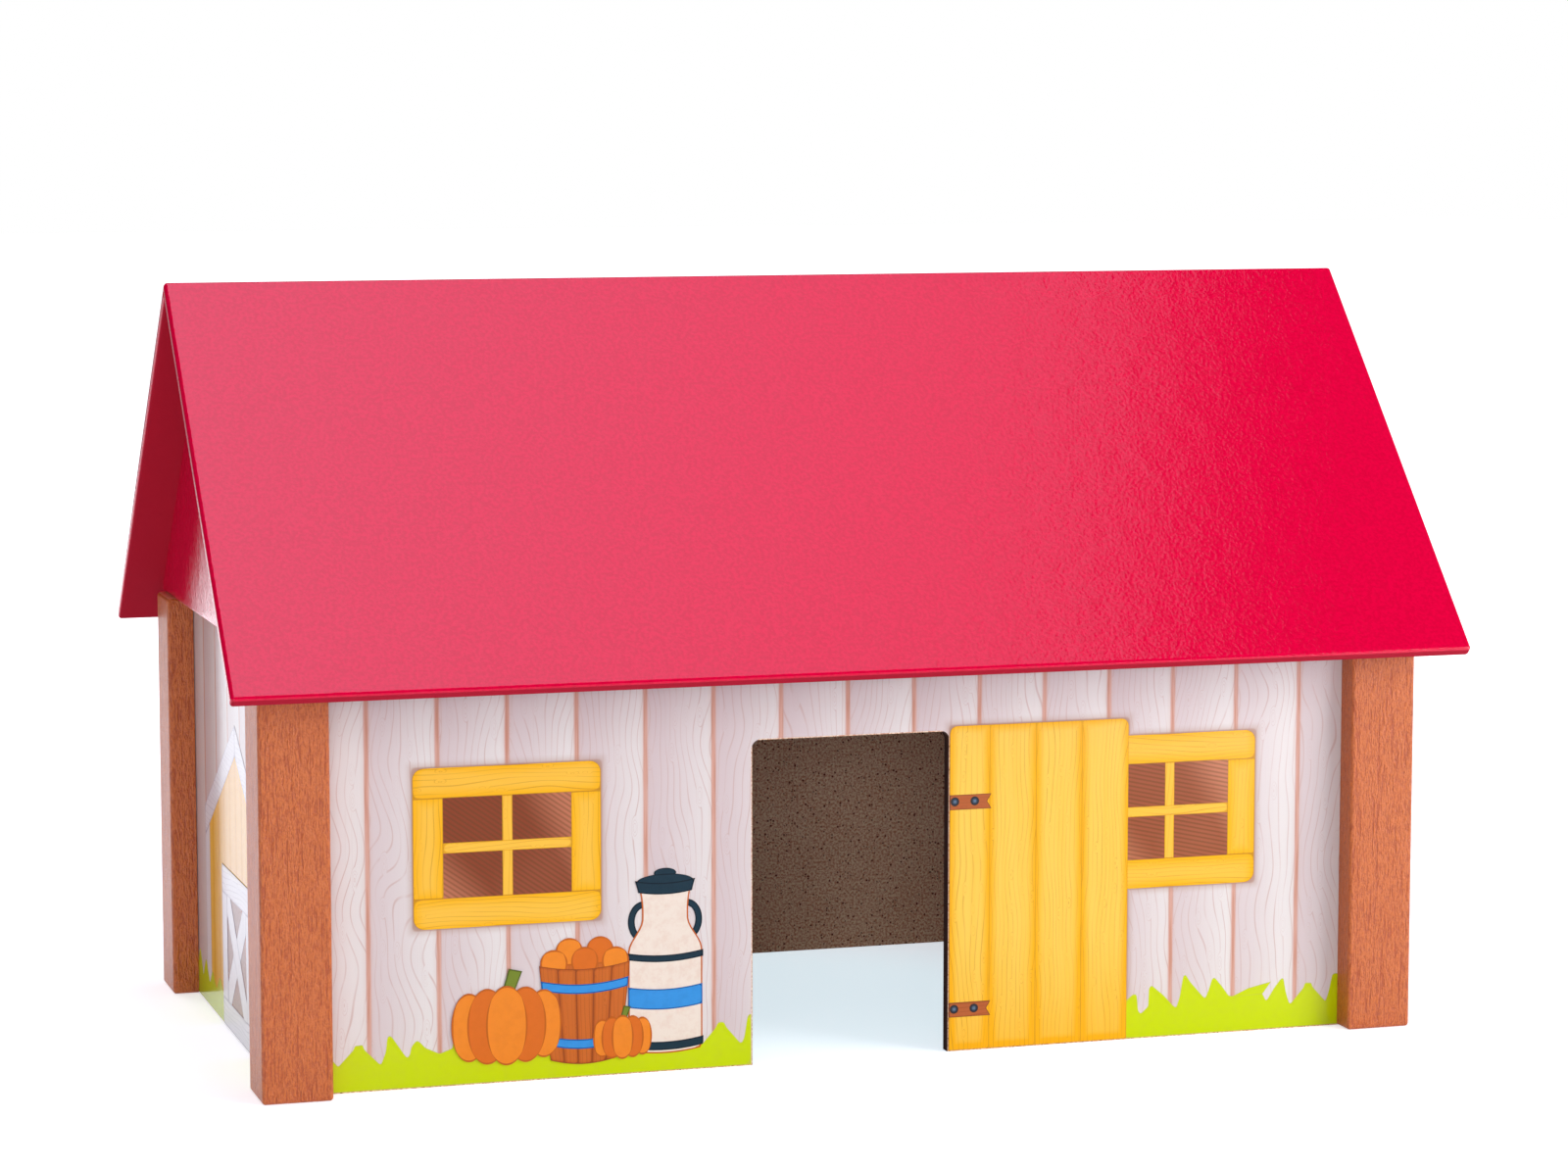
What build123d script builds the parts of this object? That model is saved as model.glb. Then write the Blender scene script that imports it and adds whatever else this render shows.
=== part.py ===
"""Toy barn: printed hardboard walls stand in four grooved corner posts, and a glued gable roof lifts off.

Millimetres, +Z up. The origin is on the floor, midway between the posts, and the doorway wall faces -Y.
"""

import math
import os

from build123d import *

# Overall sizes of the base, over the outer faces of the corner posts
base_length = 380.0
base_width = 191.0

# Corner posts, of square stock with a groove in each of the two faces that meet a wall
post_side = 22.0
post_height = 135.5
post_edge_radius = 1.2
groove_depth = 6.5
groove_play = 0.2
board_end_play = 0.3

# Wall boards and the printed paper on their outer faces. The eaves walls stand above the posts
board_thickness = 4.0
board_edge_radius = 0.4
print_thickness = 0.2
print_trim = 0.4
eaves_wall_rise = 14.0
end_wall_drop = 0.5

# Doorway, cut up from the bottom edge of the front wall
doorway_width = 65.0
doorway_height = 103.5
doorway_corner_radius = 3.0
doorway_offset = 0.0

# Roof: two panels in a butt joint at the ridge, and a gable plate let in near each end
roof_length = 402.0
roof_slope_length = 164.5
roof_slope = 46.0
roof_panel_thickness = 4.0
roof_edge_radius = 1.2
roof_wall_play = 0.3
gable_inset = 13.6
gable_thickness = 4.0
gable_edge_radius = 0.6
gable_corner_cut = 2.0

# What the boards and grooves fit, worked out from the same values
skin_thickness = board_thickness + print_thickness
groove_width = skin_thickness + 2 * groove_play
groove_lip = (post_side - groove_width) / 2
board_tongue = groove_depth - board_end_play
wall_setback = groove_lip + groove_play
eaves_wall_height = post_height + eaves_wall_rise
end_wall_height = post_height - end_wall_drop
half_length = base_length / 2
half_width = base_width / 2
front_face = half_width - wall_setback
end_face = half_length - wall_setback
front_board_length = base_length - 2 * (post_side - board_tongue)
end_board_length = base_width - 2 * (post_side - board_tongue)

# Roof planes: the underside clears the printed top edge of the eaves walls
slope = math.radians(roof_slope)
underside_rise = front_face * math.tan(slope) + roof_wall_play / math.cos(slope)
ridge_underside = eaves_wall_height + underside_rise
ridge_height = ridge_underside + roof_panel_thickness / math.cos(slope)

# Where the front panel's underside meets the back panel's upper face
ridge_joint_y = roof_panel_thickness / (2 * math.sin(slope))
ridge_joint_height = ridge_height - roof_panel_thickness / (2 * math.cos(slope))

front, back, left, right = -1, 1, -1, 1


def rounded(solid, edges, radius):
    """The solid with these edges rounded to that radius."""
    return fillet(edges, radius) if radius > 0 else solid


def corner_post(side_x, side_y):
    """One post, with a full-height groove for the eaves wall and another for the end wall."""
    centre_x = side_x * (half_length - post_side / 2)
    centre_y = side_y * (half_width - post_side / 2)
    stock = Pos(centre_x, centre_y, post_height / 2) * Box(post_side, post_side, post_height)
    stock = rounded(stock, stock.edges(), post_edge_radius)
    groove_from_centre = post_side / 2 - groove_depth / 2
    cutter_height = 2 * post_height
    eaves_groove = Pos(centre_x - side_x * groove_from_centre, centre_y, post_height / 2) * Box(
        groove_depth, groove_width, cutter_height
    )
    end_groove = Pos(centre_x, centre_y - side_y * groove_from_centre, post_height / 2) * Box(
        groove_width, groove_depth, cutter_height
    )
    return stock - eaves_groove - end_groove


def wall_outline(length, height, inset=0.0):
    """An upright rectangle in the XZ plane, standing on the floor, drawn in by inset all round."""
    face = Rectangle(length - 2 * inset, height - 2 * inset)
    return Pos(0, 0, height / 2) * Rot(90, 0, 0) * face


def doorway_cutter(grow=0.0):
    """The doorway's opening, grown all round for the paper. Its lower half lies below the floor."""
    width = doorway_width + 2 * grow
    height = doorway_height + grow
    opening = Pos(doorway_offset, 0, 0) * Box(width, base_width, 2 * height)
    top_edges = opening.edges().filter_by(Axis.Y).group_by(Axis.Z)[-1]
    return rounded(opening, top_edges, doorway_corner_radius + grow)


def sawn_board(length, height):
    """A board with sharp edges, its outer face at y = print_thickness behind the printed face's plane."""
    face = wall_outline(length, height)
    return Pos(0, print_thickness, 0) * extrude(face, amount=board_thickness, dir=(0, 1, 0))


def board(length, height):
    """A wall board with no opening, its edges sanded."""
    solid = sawn_board(length, height)
    return rounded(solid, solid.edges(), board_edge_radius)


def paper(length, height):
    """The printed paper on a board's outer face, trimmed just inside the board's edges."""
    return extrude(wall_outline(length, height, print_trim), amount=print_thickness, dir=(0, 1, 0))


def placed_wall(piece, turn, distance):
    """Sets a wall made to face -Y at that distance from the middle, turned about Z."""
    return Rot(0, 0, turn) * Pos(0, -distance, 0) * piece


def front_wall():
    """The front board, with the doorway cut up from its bottom edge and its two ends sanded."""
    solid = sawn_board(front_board_length, eaves_wall_height) - doorway_cutter()
    end_x = front_board_length / 2 - board_edge_radius
    end_edges = solid.edges().filter_by(lambda edge: abs(edge.center().X) > end_x)
    return placed_wall(rounded(solid, end_edges, board_edge_radius), 0, front_face)


def front_paper():
    """The front wall's print, trimmed at the doorway as at the other edges."""
    sheet = paper(front_board_length, eaves_wall_height) - doorway_cutter(print_trim)
    return placed_wall(sheet, 0, front_face)


def roof_section(points):
    """A solid of this YZ section along the whole roof."""
    face = make_face(Polyline(*[(0, y, z) for y, z in points], close=True))
    return extrude(face, amount=roof_length / 2, dir=(1, 0, 0), both=True)


def eave_corners(side_y):
    """The upper and lower corners of the square-cut eave edge, as (y, z)."""
    upper_y = roof_slope_length * math.cos(slope)
    upper_z = ridge_height - roof_slope_length * math.sin(slope)
    lower_y = upper_y - roof_panel_thickness * math.sin(slope)
    lower_z = upper_z - roof_panel_thickness * math.cos(slope)
    return (side_y * upper_y, upper_z), (side_y * lower_y, lower_z)


def roof_front_panel():
    """The front slope, which runs up over the back panel's top edge and makes the ridge."""
    upper, lower = eave_corners(front)
    solid = roof_section([(0, ridge_height), upper, lower, (ridge_joint_y, ridge_joint_height)])
    free_y = ridge_joint_y - roof_edge_radius / 2
    free_edges = solid.edges().filter_by(lambda edge: edge.center().Y < free_y)
    return rounded(solid, free_edges, roof_edge_radius)


def roof_back_panel():
    """The back slope, whose top edge butts against the front panel's underside."""
    upper, lower = eave_corners(back)
    solid = roof_section([(ridge_joint_y, ridge_joint_height), upper, lower, (0, ridge_underside)])
    free_y = ridge_joint_y + roof_edge_radius
    free_edges = solid.edges().filter_by(lambda edge: edge.center().Y > free_y)
    return rounded(solid, free_edges, roof_edge_radius)


def roof_gable(side_x):
    """A triangular plate glued between the panels, whose bottom edge stands on the post tops."""
    half_base = (ridge_underside - post_height) / math.tan(slope)
    tip = half_base - gable_corner_cut
    tip_height = post_height + gable_corner_cut * math.tan(slope)
    outline = Polyline(
        (0, -tip, post_height),
        (0, tip, post_height),
        (0, tip, tip_height),
        (0, 0, ridge_underside),
        (0, -tip, tip_height),
        close=True,
    )
    plate = extrude(make_face(outline), amount=gable_thickness / 2, dir=(1, 0, 0), both=True)
    bottom_edges = plate.edges().group_by(Axis.Z)[0].filter_by(Axis.Y)
    plate = rounded(plate, bottom_edges, gable_edge_radius)
    centre_x = roof_length / 2 - gable_inset - gable_thickness / 2
    return Pos(side_x * centre_x, 0, 0) * plate


def make_parts():
    """Every piece of the barn by its name."""
    eaves_board = board(front_board_length, eaves_wall_height)
    end_board = board(end_board_length, end_wall_height)
    eaves_paper = paper(front_board_length, eaves_wall_height)
    end_paper = paper(end_board_length, end_wall_height)
    return {
        "post_front_left": corner_post(left, front),
        "post_front_right": corner_post(right, front),
        "post_back_left": corner_post(left, back),
        "post_back_right": corner_post(right, back),
        "front_wall": front_wall(),
        "back_wall": placed_wall(eaves_board, 180, front_face),
        "left_wall": placed_wall(end_board, -90, end_face),
        "right_wall": placed_wall(end_board, 90, end_face),
        "front_wall_print": front_paper(),
        "back_wall_print": placed_wall(eaves_paper, 180, front_face),
        "left_wall_print": placed_wall(end_paper, -90, end_face),
        "right_wall_print": placed_wall(end_paper, 90, end_face),
        "roof_front_panel": roof_front_panel(),
        "roof_back_panel": roof_back_panel(),
        "roof_gable_left": roof_gable(left),
        "roof_gable_right": roof_gable(right),
    }


os.makedirs("parts", exist_ok=True)
for name, solid in make_parts().items():
    export_step(solid, os.path.join("parts", f"{name}.step"))
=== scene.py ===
"""Looks of a toy barn: printed hardboard walls in terracotta posts, under a crimson roof that lifts off.

Metres, +Z up, with the doorway wall facing -Y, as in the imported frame. The drawings on the printed walls are
laid out in millimetres: across, from left to right as seen from outside, and up from the floor.
"""

import logging
import math
from collections.abc import Iterator
from dataclasses import dataclass
from enum import Enum
from functools import cache

import bpy
import numpy as np
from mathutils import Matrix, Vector


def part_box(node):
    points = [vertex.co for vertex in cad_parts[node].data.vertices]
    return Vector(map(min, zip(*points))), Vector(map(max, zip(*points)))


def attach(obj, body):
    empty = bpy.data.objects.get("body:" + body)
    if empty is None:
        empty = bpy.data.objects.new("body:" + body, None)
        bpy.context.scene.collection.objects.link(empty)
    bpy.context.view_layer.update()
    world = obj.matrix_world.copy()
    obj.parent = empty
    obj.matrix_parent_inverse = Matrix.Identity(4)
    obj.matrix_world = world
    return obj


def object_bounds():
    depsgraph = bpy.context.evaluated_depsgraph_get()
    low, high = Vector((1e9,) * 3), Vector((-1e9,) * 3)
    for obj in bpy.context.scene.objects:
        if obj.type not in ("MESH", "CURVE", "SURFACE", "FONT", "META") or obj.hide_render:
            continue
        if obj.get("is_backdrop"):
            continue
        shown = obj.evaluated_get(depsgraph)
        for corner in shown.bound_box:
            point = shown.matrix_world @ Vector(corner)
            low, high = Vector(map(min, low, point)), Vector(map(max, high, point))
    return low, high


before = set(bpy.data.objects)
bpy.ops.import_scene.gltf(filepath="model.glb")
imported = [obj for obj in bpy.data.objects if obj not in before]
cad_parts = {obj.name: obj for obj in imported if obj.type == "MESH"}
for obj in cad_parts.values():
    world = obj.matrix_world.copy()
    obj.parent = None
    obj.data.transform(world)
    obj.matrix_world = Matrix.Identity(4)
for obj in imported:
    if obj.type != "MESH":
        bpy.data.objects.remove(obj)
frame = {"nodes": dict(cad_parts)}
cad_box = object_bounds()

log = logging.getLogger("toy_barn")

MM = 0.001
PER_MM = 1000.0

Colour = tuple[float, float, float, float]
Place = tuple[float, float, float]
Point = tuple[float, float]
Box = tuple[float, float, float, float]
Material = bpy.types.Material


def srgb(*parts: int) -> Colour:
    """A colour as the eye reads it, as the linear colour that a shader takes.

    Args:
        parts: Red, green and blue, 0 to 255.

    Returns:
        Linear red, green and blue, and 1 for alpha.
    """
    share = np.array(parts) / 255
    linear = np.where(share <= 0.04045, share / 12.92, ((share + 0.055) / 1.055) ** 2.4)
    return (*linear.tolist(), 1.0)


class Value:
    """What a node gives out. A sum with it adds a node to its tree and gives a new value."""

    def __init__(self, graph: "Graph", socket: bpy.types.NodeSocket) -> None:
        """Takes one output of a node in the graph."""
        self.graph = graph
        self.socket = socket

    def __add__(self, other: "Value | float") -> "Value":
        """This plus the other."""
        return self.graph.math("ADD", self, other)

    def __sub__(self, other: "Value | float") -> "Value":
        """This less the other."""
        return self.graph.math("SUBTRACT", self, other)

    def __mul__(self, other: "Value | float") -> "Value":
        """This times the other."""
        return self.graph.math("MULTIPLY", self, other)

    def __truediv__(self, other: float) -> "Value":
        """This over the other."""
        return self.graph.math("DIVIDE", self, other)

    def __abs__(self) -> "Value":
        """Its size without its sign."""
        return self.graph.math("ABSOLUTE", self)

    def larger(self, other: "Value") -> "Value":
        """The larger of the two."""
        return self.graph.math("MAXIMUM", self, other)

    def under(self, limit: float) -> "Value":
        """1 where it is under the limit, and 0 elsewhere."""
        return self.graph.math("LESS_THAN", self, limit)

    def off_line(self) -> "Value":
        """How far it lies from the nearest whole number."""
        return self.graph.math("PINGPONG", self, 0.5)

    def fade(self, start: float, end: float) -> "Value":
        """0 at start and 1 at end, smooth between, also where end is the lower one."""
        ends = {"Value": self, "From Min": start, "From Max": end}
        return self.graph.add("MapRange", "Result", ends, interpolation_type="SMOOTHSTEP")

    def part(self, axis: str) -> "Value":
        """One coordinate of a vector."""
        return self.graph.add("SeparateXYZ", axis, {"Vector": self})

    def along(self, way: Place) -> "Value":
        """How far a vector reaches in a direction."""
        return self.graph.add("VectorMath", "Value", {0: self, 1: way}, operation="DOT_PRODUCT")

    def stretched(self, *by: float) -> "Value":
        """A vector with each of its three coordinates multiplied."""
        return self.graph.add("VectorMath", "Vector", {0: self, 1: by}, operation="MULTIPLY")

    __radd__ = __add__
    __rmul__ = __mul__


class Graph:
    """A node tree built by short calls, each of which adds a node and gives its value."""

    def __init__(self, tree: bpy.types.NodeTree) -> None:
        """Starts on the tree of a material, a world or a lamp."""
        self.tree = tree

    def feed(self, socket: bpy.types.NodeSocket, value: object) -> None:
        """Gives an input what it works with.

        Args:
            socket: The input.
            value: A Value, which is linked to it, or a plain number, vector or colour.
        """
        if isinstance(value, Value):
            self.tree.links.new(value.socket, socket)
        else:
            socket.default_value = value

    def add(self, kind: str, output: str | int, inputs: dict | None = None, **settings: object) -> Value:
        """Adds a node.

        Args:
            kind: The node's type, after "ShaderNode".
            output: Which of its outputs is wanted.
            inputs: What its inputs get, by name or by place.
            settings: Values for the node's own properties.

        Returns:
            That output.
        """
        node = self.tree.nodes.new(f"ShaderNode{kind}")
        for name, value in settings.items():
            setattr(node, name, value)
        for name, value in (inputs or {}).items():
            self.feed(node.inputs[name], value)
        return Value(self, node.outputs[output])

    def math(self, operation: str, *values: Value | float) -> Value:
        """One sum of a Math node."""
        return self.add("Math", "Value", dict(enumerate(values)), operation=operation)

    def object_place(self) -> Value:
        """The point's place in the row frame, in metres."""
        return self.add("TexCoord", "Object")

    def drawn_place(self) -> Value:
        """The point's place in its drawing, in millimetres: along the grain, then across it."""
        return self.add("UVMap", "UV", uv_map="drawing").stretched(PER_MM, PER_MM, 1.0)

    def facing_up(self) -> Value:
        """How far the face looks upwards, from -1 to 1."""
        return self.add("NewGeometry", "True Normal").part("Z")

    def carried(self, name: str) -> Value:
        """A number that the mesh carries at each point."""
        return self.add("Attribute", "Fac", attribute_name=name)

    def mirrored(self) -> Value:
        """1 to a ray that comes by a reflection or through glass, and 0 to the others."""
        return self.add("LightPath", "Is Glossy Ray").larger(self.add("LightPath", "Is Transmission Ray"))

    def vector(self, *parts: Value | float) -> Value:
        """A vector of three numbers."""
        return self.add("CombineXYZ", "Vector", dict(enumerate(parts)))

    def noise(self, place: Value, scale: float = 1.0, detail: float = 2.0, roughness: float = 0.5) -> Value:
        """Cloudy noise from 0 to 1, about 0.5, with scale features to a unit."""
        inputs = {"Vector": place, "Scale": scale, "Detail": detail, "Roughness": roughness}
        return self.add("TexNoise", "Fac", inputs)

    def streaks(self, first: Value, second: Value, finely: Point, salt: Value | float) -> Value:
        """Noise over two coordinates, each multiplied by its own fineness, and different for each salt."""
        return self.noise(self.vector(first * finely[0], second * finely[1], salt))

    def cells(self, place: Value, scale: float = 1.0, dimensions: str = "3D") -> tuple[Value, Value]:
        """Divides space into ragged cells.

        Args:
            place: The point's place.
            scale: Cells to a unit.
            dimensions: 2D or 3D.

        Returns:
            The distance from the nearest cell's middle, and a chance from 0 to 1 that is fixed for each cell.
        """
        inputs = {"Vector": place, "Scale": scale}
        distance = self.add("TexVoronoi", "Distance", inputs, voronoi_dimensions=dimensions)
        colour = Value(self, distance.socket.node.outputs["Color"])
        return distance, self.add("SeparateColor", 0, {0: colour})

    def chance(self, number: Value) -> Value:
        """A chance from 0 to 1 that is fixed for each number."""
        return self.add("TexWhiteNoise", "Value", {"W": number}, noise_dimensions="1D")

    def blend(self, share: Value, first: Value | Colour, second: Value | Colour) -> Value:
        """The first colour where share is 0 and the second where it is 1."""
        return self.add("Mix", 2, {0: share, 6: first, 7: second}, data_type="RGBA")


@dataclass(frozen=True)
class Texture:
    """Cloudy noise in the row frame: features to a metre, octaves and their weight.

    Features upwards are a share of those sideways, below 1 where they are drawn out.
    """

    to_metre: float
    octaves: float = 2.0
    weight: float = 0.5
    upwards: float = 1.0


class Finish(Graph):
    """A material under way: a Principled shader and the nodes that drive it."""

    def __init__(self, name: str) -> None:
        """Starts a material.

        Args:
            name: Its name.
        """
        self.material = bpy.data.materials.new(name)
        self.material.use_nodes = True
        super().__init__(self.material.node_tree)

    def texture(self, kind: Texture) -> Value:
        """The noise of a texture, from 0 to 1."""
        place = self.object_place().stretched(1.0, 1.0, kind.upwards)
        return self.noise(place, kind.to_metre, kind.octaves, kind.weight)

    def relief(self, height: Value, depth: float) -> Value:
        """A bent normal for a surface whose height, from 0 to 1, stands for depth in metres."""
        return self.add("Bump", "Normal", {"Height": height, "Distance": depth})

    def surface(self, **inputs: object) -> Material:
        """Feeds the shader.

        Args:
            inputs: What its inputs get, by name, with _ for a space.

        Returns:
            The material.
        """
        shader = self.tree.nodes["Principled BSDF"]
        for name, value in inputs.items():
            self.feed(shader.inputs[name.replace("_", " ")], value)
        return self.material


@dataclass(frozen=True)
class RoofPaint:
    """Gloss crimson paint with the pebbled skin that a roller leaves, dull where it faces down, with painted
    shade there.

    A pair of numbers says where something starts to show and where it shows in full.
    """

    colour: Colour = srgb(224, 0, 60)
    sheen_grain_colour: Colour = srgb(212, 0, 54)
    painted_shade_underside_colour: Colour = srgb(178, 0, 42)
    roughness: float = 0.06
    pebble_roughness: float = 0.04
    underside_roughness: float = 0.87
    gloss: float = 0.4
    pebbles: Texture = Texture(850.0, 2.0, 0.55)
    ripples: Texture = Texture(850.0 / 7, 1.0)
    ripple_height: float = 1.2
    depth: float = 0.00007
    sheen_grain: Point = (0.34, 0.66)
    facing_down: Point = (-0.3, -0.6)

    def material(self) -> Material:
        """The paint as a material."""
        paint = Finish("crimson_gloss")
        pebbles = paint.texture(self.pebbles)
        # Painted shade: faces that look down take a darker colour.
        below = paint.facing_up().fade(*self.facing_down)
        # Painted sheen grain: darker on the pebbles' crests, standing in for the grain of the reflection.
        above = paint.blend(pebbles.fade(*self.sheen_grain), self.colour, self.sheen_grain_colour)
        gloss = pebbles * self.pebble_roughness + self.roughness
        return paint.surface(
            Base_Color=paint.blend(below, above, self.painted_shade_underside_colour),
            Roughness=below * self.underside_roughness + gloss,
            Specular_IOR_Level=self.gloss,
            Normal=paint.relief(paint.texture(self.ripples) * self.ripple_height + pebbles, self.depth),
        )


@dataclass(frozen=True)
class PostPaint:
    """Satin terracotta paint over sawn softwood, whose ridges and long cracks stand through it, with painted
    shade in the hollows and cracks and painted light on the top.
    """

    colour: Colour = srgb(214, 112, 46)
    painted_shade_hollow_colour: Colour = srgb(184, 80, 24)
    painted_light_top_colour: Colour = srgb(252, 174, 138)
    roughness: float = 0.27
    pebble_roughness: float = 0.1
    gloss: float = 0.6
    ridges: Texture = Texture(1750.0, 2.0, 0.6, 0.22)
    pebbles: Texture = Texture(1925.0, 2.0, 0.6, 0.7)
    pebble_height: float = 0.6
    cracks: Texture = Texture(1250.0, 1.0, 0.5, 0.07)
    cracked: Point = (0.43, 0.31)
    crack_height: float = -0.2
    depth: float = 0.00065
    shade_in_hollows: Point = (0.92, 0.55)
    facing_up: Point = (0.7, 0.95)

    def material(self) -> Material:
        """The paint as a material."""
        paint = Finish("terracotta_satin")
        pebbles = paint.texture(self.pebbles)
        wood = pebbles * self.pebble_height + paint.texture(self.ridges)
        height = paint.texture(self.cracks).fade(*self.cracked) * self.crack_height + wood
        # Painted shade: where the relief is low, in the hollows and cracks, the colour is darker.
        sides = paint.blend(height.fade(*self.shade_in_hollows), self.colour, self.painted_shade_hollow_colour)
        return paint.surface(
            # Painted light: the upward face is paler.
            Base_Color=paint.blend(paint.facing_up().fade(*self.facing_up), sides, self.painted_light_top_colour),
            Roughness=pebbles * self.pebble_roughness + self.roughness,
            Specular_IOR_Level=self.gloss,
            Normal=paint.relief(height, self.depth),
        )


@dataclass(frozen=True)
class Hardboard:
    """Bare hardboard: brown fibre with dark specks, with painted light on its upward faces, and browned where
    it is sawn.

    Each cell of the board holds a speck in its middle, whose size goes by chance. Lengths are in metres.
    """

    fibre: Colour = srgb(212, 154, 121)
    pale_fibre: Colour = srgb(255, 230, 201)
    painted_light_upper_edge: Colour = srgb(236, 204, 180)
    speck: Colour = srgb(118, 50, 28)
    singed: Colour = srgb(62, 38, 32)
    roughness: float = 0.6
    fibre_roughness: float = 0.2
    gloss: float = 0.25
    mottle: Texture = Texture(1250.0, 2.0, 0.7)
    clouds: Texture = Texture(90.0, 3.0)
    cloud_share: float = 0.08
    pale: Point = (0.42, 0.66)
    specks_to_metre: float = 1000.0
    smallest_speck: float = -0.46
    speck_spread: float = 0.9
    speck_edge: Point = (0.04, -0.12)
    facing_up: Point = (0.6, 0.95)
    upper_light: float = 0.8
    depth: float = 0.00005
    doorway_half_width: float = 0.0325
    doorway_height: float = 0.1035
    doorway_front: float = -0.08
    tolerance: float = 0.00006

    def material(self) -> Material:
        """The board as a material."""
        board = Finish("hardboard")
        mottle = board.texture(self.mottle)
        pale = (board.texture(self.clouds) * self.cloud_share + mottle).fade(*self.pale)
        distance, chance = board.cells(board.object_place(), self.specks_to_metre)
        size = chance * self.speck_spread + self.smallest_speck
        specks = (distance - size).fade(*self.speck_edge)
        face = board.blend(specks, board.blend(pale, self.fibre, self.pale_fibre), self.speck)
        # Painted light: the upward faces are paler.
        edge = board.facing_up().fade(*self.facing_up) * self.upper_light
        return board.surface(
            Base_Color=board.blend(self._sawn(board), board.blend(edge, face, self.painted_light_upper_edge), self.singed),
            Roughness=mottle * self.fibre_roughness + self.roughness,
            Specular_IOR_Level=self.gloss,
            Normal=board.relief(mottle, self.depth),
        )

    def _sawn(self, board: Finish) -> Value:
        """Finds the doorway's sawn edge: on or within the doorway's outline, near the front.

        Args:
            board: The material under way.

        Returns:
            1 on the edge, and 0 elsewhere.
        """
        place = board.object_place()
        beside = abs(place.part("X")).under(self.doorway_half_width + self.tolerance)
        below = place.part("Z").under(self.doorway_height + self.tolerance)
        return place.part("Y").under(self.doorway_front) * (beside * below)


class Side(Enum):
    """The four printed walls: the printed sheet's node, and the way that it faces, as (x, y)."""

    FRONT = ("front_wall_print", (0, -1))
    BACK = ("back_wall_print", (0, 1))
    LEFT = ("left_wall_print", (-1, 0))
    RIGHT = ("right_wall_print", (1, 0))

    def __init__(self, node: str, outward: tuple[int, int]) -> None:
        """Reads a wall's values.

        Args:
            node: The sheet's node.
            outward: The way that it faces.
        """
        self.node = node
        self.outward = np.array([*outward, 0.0])
        self.along = np.array([-outward[1], outward[0], 0.0])

    def place(self, points: np.ndarray, lift: float) -> np.ndarray:
        """Points of the drawing in the row frame.

        Args:
            points: Millimetres to the right of the wall's middle, seen from outside, and above the floor.
            lift: Millimetres that the ink stands proud of the sheet.

        Returns:
            The points, in metres.
        """
        face = (np.array([*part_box(self.node)]) @ self.outward).max() * self.outward
        upward = np.array([0.0, 0.0, 1.0])
        return face + MM * (points[..., :1] * self.along + points[..., 1:] * upward + lift * self.outward)


@dataclass(frozen=True)
class Laminate:
    """The satin film over all the prints."""

    roughness: float = 0.1
    fibre_roughness: float = 0.08
    gloss: float = 0.22
    fibre: Texture = Texture(700.0)
    depth: float = 0.000008

    def over(self, ink: Finish, colour: Value) -> Material:
        """Puts the film over a printed colour.

        Args:
            ink: The material under way.
            colour: The printed colour.

        Returns:
            The material.
        """
        fibre = ink.texture(self.fibre)
        return ink.surface(
            Base_Color=colour,
            Roughness=fibre * self.fibre_roughness + self.roughness,
            Specular_IOR_Level=self.gloss,
            Normal=ink.relief(fibre, self.depth),
        )


@dataclass(frozen=True)
class GrainLines:
    """Drawn wood grain, in millimetres: thin contour lines of a field that climbs across the board.

    The field is the distance across over the pitch, plus sway times noise that is drawn out along the board,
    plus a bump of some rings round each knot. Cells of the board may each hold a knot. A pair is across,
    along.
    """

    pitch: float = 2.5
    width: float = 0.33
    sway: float = 8.5
    run: Point = (23.0, 40.0)
    cell: Point = (4.4, 14.0)
    rings: float = 2.6
    knot_reach: float = 0.3
    knotless: float = 0.62
    shift: float = 900.0
    waver: float = 0.35
    patches: Point = (0.3, 0.03)
    patchy: Point = (0.15, 0.7)

    def share(self, across: Value, along: Value, salt: Value) -> Value:
        """How strongly the lines show.

        Args:
            across: Millimetres across the board.
            along: Millimetres along the board.
            salt: A number that is fixed for each board.

        Returns:
            The share, 0 to 1.
        """
        ink = across.graph
        start = ink.chance(salt) * self.shift + along
        flow = ink.noise(ink.vector(across / self.run[0], start / self.run[1], salt), 1.0, 1.0, self.waver)
        climb = flow * self.sway + across / self.pitch + self._knots(across, start)
        line = (climb.off_line() * self.pitch).fade(0.75 * self.width, 0.2 * self.width)
        return line * ink.streaks(across, start, self.patches, salt).fade(*self.patchy)

    def _knots(self, across: Value, along: Value) -> Value:
        """The bump round each knot, whose height fades outwards.

        Args:
            across: Millimetres across the board.
            along: Millimetres along the board.

        Returns:
            The bump, in rings.
        """
        ink = across.graph
        place = ink.vector(across / self.cell[0], along / self.cell[1])
        distance, chance = ink.cells(place, dimensions="2D")
        has_knot = ink.math("GREATER_THAN", chance, self.knotless)
        return distance.fade(self.knot_reach, 0.0) * has_knot * self.rings


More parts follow.
